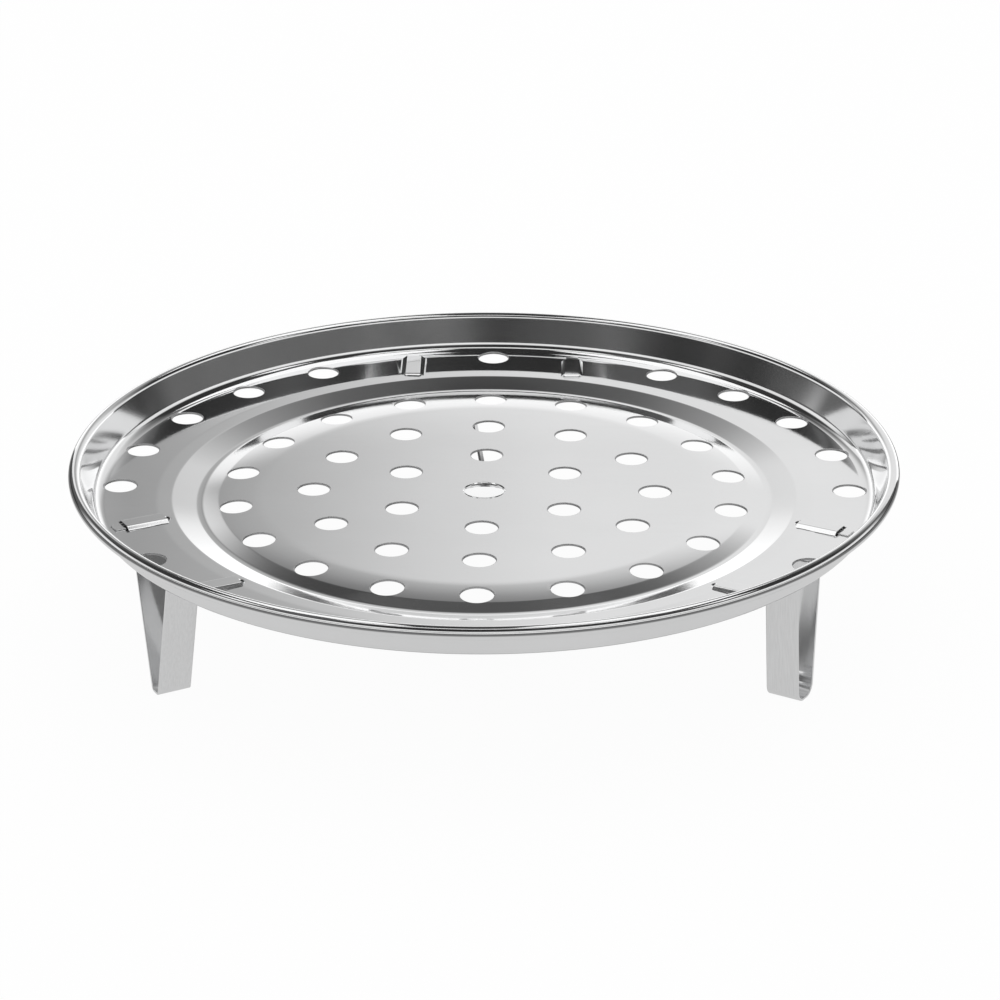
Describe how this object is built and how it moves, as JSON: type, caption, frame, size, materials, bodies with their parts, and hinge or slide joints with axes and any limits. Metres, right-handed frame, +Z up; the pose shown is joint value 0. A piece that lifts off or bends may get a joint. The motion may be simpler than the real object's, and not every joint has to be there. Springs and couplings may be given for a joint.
{
  "type": "steaming rack",
  "caption": "Round perforated steel steaming rack with a rolled rim, a drain groove and bent-strip legs that slide in to unlatch from loops in the tray.",
  "frame": {"origin": "on the rack's axis, at the floor that the feet stand on", "axes": "+Z up along the tray's axis, +Y from the middle to the rear leg, +X to the right as seen from the front"},
  "size_m": [0.26, 0.26, 0.0564],
  "materials": {
    "tray_steel": "polished",
    "leg_steel": "polished"
  },
  "bodies": {
    "tray": {"tray": "tray_steel"},
    "leg_rear": {"leg_rear": "leg_steel"},
    "leg_left": {"leg_left": "leg_steel"},
    "leg_right": {"leg_right": "leg_steel"}
  },
  "joints": [
    {"name": "leg_rear_unlatch", "type": "slide", "parent": "tray", "child": "leg_rear", "axis": [0, -1, 0], "range_m": [0, 0.004]},
    {"name": "leg_left_unlatch", "type": "slide", "parent": "tray", "child": "leg_left", "axis": [0.866, 0.5, 0], "range_m": [0, 0.004]},
    {"name": "leg_right_unlatch", "type": "slide", "parent": "tray", "child": "leg_right", "axis": [-0.866, 0.5, 0], "range_m": [0, 0.004]}
  ]
}
